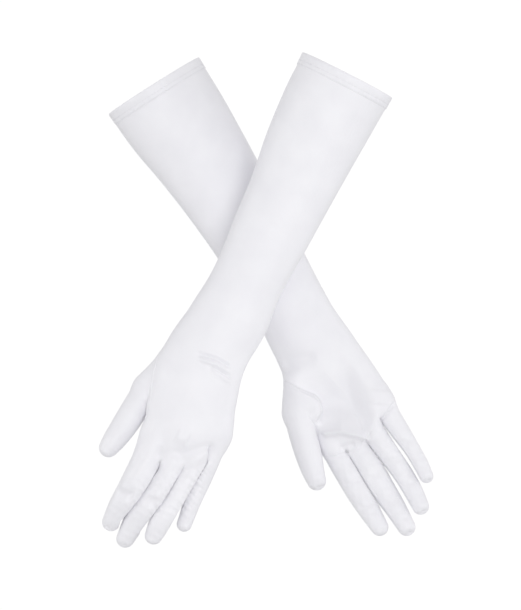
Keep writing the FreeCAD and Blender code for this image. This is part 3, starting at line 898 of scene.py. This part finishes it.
def welt(glove, name, hits, width=WELT_WIDTH, height=WELT_HEIGHT):
    """A seam's raised edge along skin points: a low ribbon, sunk at its sides."""
    spots = np.array([hit[0] for hit in hits])
    ups = np.array([hit[1] for hit in hits])
    for _ in range(2):
        spots[1:-1] = (spots[:-2] + 2 * spots[1:-1] + spots[2:]) / 4
        ups[1:-1] = (ups[:-2] + 2 * ups[1:-1] + ups[2:]) / 4
    ups /= np.linalg.norm(ups, axis=1)[:, None]
    runs = np.gradient(spots, axis=0)
    runs /= np.linalg.norm(runs, axis=1)[:, None]
    sides = np.cross(runs, ups)
    sides /= np.linalg.norm(sides, axis=1)[:, None]
    taper = eased_ends(np.linspace(0, 1, len(spots)), 0.06)
    points = []
    for across, up in WELT_OUTLINE:
        rise = height * up * (taper if up > 0 else np.ones(len(spots)))
        points.append(spots + sides * across * width + ups * rise[:, None])
    points = glove.world(np.stack(points, axis=1).reshape(-1, 3))
    faces = tube_faces(len(spots), len(WELT_OUTLINE))
    return new_mesh(name, points, wound(glove, faces))


# ---- the pieces, and what they ride on ----


def bend_over(obj):
    """Bakes a piece's placement in the world into its mesh."""
    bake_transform(obj)


def dress_body(glove):
    """The glove's body from its mouth to the forks, its hem and its long side seam."""
    side = glove.side
    body = shell_piece(glove, f"{side}_glove", 0)
    bend_over(body)
    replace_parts(body, f"{side}_sleeve", f"{side}_palm", f"{side}_back")
    hem = make_hem(glove)
    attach(hem, f"{side}_sleeve_body")
    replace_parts(hem, f"{side}_hem")
    stitches = make_stitches(glove)
    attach(stitches, f"{side}_sleeve_body")
    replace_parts(stitches, f"{side}_hem_stitching")
    levels = np.arange(-SLEEVE + HEM - 1.0, THUMB_ROOT, 2.0)
    seam = welt(glove, f"{side}_side_welt", edge_seam(glove, levels))
    bend_over(seam)
    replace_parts(seam, f"{side}_side_seam")


def hand_welt(glove, name, line, face):
    """A seam on the hand."""
    seam = welt(glove, f"{glove.side}_{name}", flat_seam(glove, line, face))
    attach(seam, f"{glove.side}_hand_body")
    return seam


def dress_hand(glove):
    """The seams round the thumb and across the roots of the fingers."""
    thenar = [(u, w) for w, u in glove.lie["thenar_seam"]]
    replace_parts(hand_welt(glove, "thenar_welt", thenar, "palm"), f"{glove.side}_thumb_seam")
    behind = [(u, w) for w, u in glove.lie["side_seam"]]
    hand_welt(glove, "thumb_back_welt", behind, "back")
    for k, line in enumerate(glove.lie["cross_seams"]):
        hand_welt(glove, f"cross_welt_{k}", line, "palm")


def dress_digit(glove, number, name):
    """A digit's shell and the seams of its side strips."""
    side = glove.side
    piece = shell_piece(glove, f"{side}_{name}_shell", number)
    bend_over(piece)
    strips = {}
    for word in ("thumb_side", "little_side"):
        if f"{side}_{name}_fourchette_{word}" in frame["nodes"]:
            strips[word] = f"{side}_{name}_fourchette_{word}"
    others = [f"{side}_thumb_gusset"] if name == "thumb" else strips.values()
    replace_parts(piece, f"{side}_{name}", *others)
    for word in strips:
        facing = 1 if word == "thumb_side" else -1
        for lean, face in ((STRIP_LEAN, "palm"), (-STRIP_LEAN, "back")):
            hits = finger_seam(glove, name, facing, lean, *STRIP_SPAN)
            seam = welt(glove, f"{side}_{name}_{word}_{face}_welt", hits, *STRIP_WELT)
            bend_over(seam)


for glove in (build_glove("right"), build_glove("left")):
    glove.faces = wound(glove, glove.faces)
    dress_body(glove)
    dress_hand(glove)
    for k, name in enumerate(DIGITS):
        dress_digit(glove, k + 1, name)


# ---- materials ----


def node(tree, kind, **values):
    """A shader node with values set on its sockets by name."""
    made = tree.nodes.new(kind)
    for name, value in values.items():
        made.inputs[name.replace("_", " ")].default_value = value
    return made


def link(tree, start, output, end, socket):
    """Joins one node's output to another's socket."""
    tree.links.new(start.outputs[output], end.inputs[socket])


def new_material(name):
    """A material, with its node tree and shader."""
    material = bpy.data.materials.new(name)
    material.use_nodes = True
    return material, material.node_tree, material.node_tree.nodes["Principled BSDF"]


def satin_material():
    """White stretch satin: a soft cool white with a broad sheen and a fine diagonal weave."""
    material, tree, shader = new_material("white_satin")
    shader.inputs["Specular IOR Level"].default_value = 0.5
    shader.inputs["Anisotropic"].default_value = 0.2
    shader.inputs["Sheen Weight"].default_value = 0.22
    shader.inputs["Sheen Roughness"].default_value = 0.5
    place = tree.nodes.new("ShaderNodeTexCoord")
    cloud = node(tree, "ShaderNodeTexNoise", Scale=38.0, Detail=3.0, Roughness=0.5)
    tint = tree.nodes.new("ShaderNodeValToRGB")
    tint.color_ramp.elements[0].position = 0.3
    tint.color_ramp.elements[0].color = (0.835, 0.83, 0.868, 1)
    tint.color_ramp.elements[1].position = 0.7
    tint.color_ramp.elements[1].color = (0.87, 0.866, 0.9, 1)
    link(tree, place, "Object", cloud, "Vector")
    gloss = node(tree, "ShaderNodeMapRange", To_Min=0.44, To_Max=0.52)
    link(tree, cloud, "Fac", gloss, "Value")
    link(tree, gloss, "Result", shader, "Roughness")
    link(tree, cloud, "Fac", tint, "Fac")
    link(tree, tint, "Color", shader, "Base Color")
    weave = node(tree, "ShaderNodeTexWave", Scale=620.0, Distortion=1.5, Detail=1.0)
    weave.bands_direction = "DIAGONAL"
    slub = node(tree, "ShaderNodeTexNoise", Scale=420.0, Detail=2.0, Roughness=0.6)
    fine = node(tree, "ShaderNodeBump", Strength=0.12, Distance=0.00008)
    soft = node(tree, "ShaderNodeBump", Strength=0.25, Distance=0.0002)
    link(tree, place, "Object", weave, "Vector")
    link(tree, place, "Object", slub, "Vector")
    link(tree, slub, "Fac", soft, "Height")
    link(tree, soft, "Normal", fine, "Normal")
    link(tree, weave, "Fac", fine, "Height")
    link(tree, fine, "Normal", shader, "Normal")
    return material


def thread_material():
    """White polyester thread, a little duller than the cloth, with a twist."""
    material, tree, shader = new_material("white_thread")
    shader.inputs["Base Color"].default_value = (0.8, 0.795, 0.83, 1)
    shader.inputs["Roughness"].default_value = 0.55
    place = tree.nodes.new("ShaderNodeTexCoord")
    twist = node(tree, "ShaderNodeTexWave", Scale=900.0, Distortion=0.6)
    twist.bands_direction = "DIAGONAL"
    bump = node(tree, "ShaderNodeBump", Strength=0.3, Distance=0.00006)
    link(tree, place, "Object", twist, "Vector")
    link(tree, twist, "Fac", bump, "Height")
    link(tree, bump, "Normal", shader, "Normal")
    return material


satin, thread = satin_material(), thread_material()
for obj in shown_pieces():
    if obj.type == "MESH":
        obj.data.materials.clear()
        obj.data.materials.append(thread if "stitches" in obj.name else satin)

# ---- stage ----

CENTRE = Vector((0.0936, -0.029, -0.1907))  # middle of the view
VIEW_DISTANCE = 6.0
VIEW_HEIGHT = 0.5289                        # what the picture's height spans at the centre
FLOOR = -1.1


def add_floor():
    """A wide plain floor, well below the gloves' fingertips."""
    mesh = bpy.data.meshes.new("floor")
    corners = [(-9, -9, FLOOR), (9, -9, FLOOR), (9, 9, FLOOR), (-9, 9, FLOOR)]
    mesh.from_pydata(corners, [], [(0, 1, 2, 3)])
    material, _, shader = new_material("pale_floor")
    shader.inputs["Base Color"].default_value = (0.72, 0.72, 0.72, 1)
    shader.inputs["Roughness"].default_value = 0.9
    mesh.materials.append(material)
    floor = bpy.data.objects.new("floor", mesh)
    bpy.context.scene.collection.objects.link(floor)


def add_world():
    """White all round the horizon, a little darker overhead and underfoot."""
    world = bpy.data.worlds.new("studio")
    world.use_nodes = True
    tree = world.node_tree
    place = tree.nodes.new("ShaderNodeTexCoord")
    split = tree.nodes.new("ShaderNodeSeparateXYZ")
    ramp = tree.nodes.new("ShaderNodeValToRGB")
    shift = node(tree, "ShaderNodeMapRange", From_Min=-1.0)
    link(tree, place, "Generated", split, "Vector")
    link(tree, split, "Z", shift, "Value")
    link(tree, shift, "Result", ramp, "Fac")
    stops = ramp.color_ramp.elements
    stops[0].position, stops[1].position = 0.0, 1.0
    levels = ((0.0, 0.4), (0.42, 0.6), (0.47, 1.03), (0.53, 1.03), (0.6, 0.78), (1.0, 0.74))
    for _ in range(len(levels) - 2):
        stops.new(0.5)
    for stop, (height, level) in zip(stops, levels):
        stop.position = height
        stop.color = (level, level, level, 1)
    link(tree, ramp, "Color", tree.nodes["Background"], "Color")
    bpy.context.scene.world = world


def add_softbox(name, place, size, power):
    """A square area light aimed at the middle of the gloves."""
    light = bpy.data.lights.new(name, "AREA")
    light.shape = "SQUARE"
    light.size = size
    light.energy = power
    box = bpy.data.objects.new(name, light)
    box.location = place
    box.rotation_euler = (CENTRE - box.location).to_track_quat("-Z", "Y").to_euler()
    bpy.context.scene.collection.objects.link(box)


def add_camera():
    """Level and square on, from far enough away to see the gloves almost without perspective."""
    data = bpy.data.cameras.new("camera")
    data.sensor_fit = "VERTICAL"
    data.sensor_height = 24.0
    data.lens = data.sensor_height * VIEW_DISTANCE / VIEW_HEIGHT
    data.clip_end = 60.0
    camera = bpy.data.objects.new("camera", data)
    camera.location = CENTRE - Vector((0, VIEW_DISTANCE, 0))
    camera.rotation_euler = (math.pi / 2, 0, 0)
    bpy.context.scene.collection.objects.link(camera)
    bpy.context.scene.camera = camera


add_floor()
add_world()
add_softbox("key", (0.35, -2.5, -0.95), 1.3, 25.0)
add_softbox("right", (2.8, -0.6, -0.3), 1.3, 9.0)
add_softbox("left", (-2.6, -0.9, -0.3), 1.3, 6.0)
add_camera()
bpy.context.scene.view_settings.view_transform = "Standard"
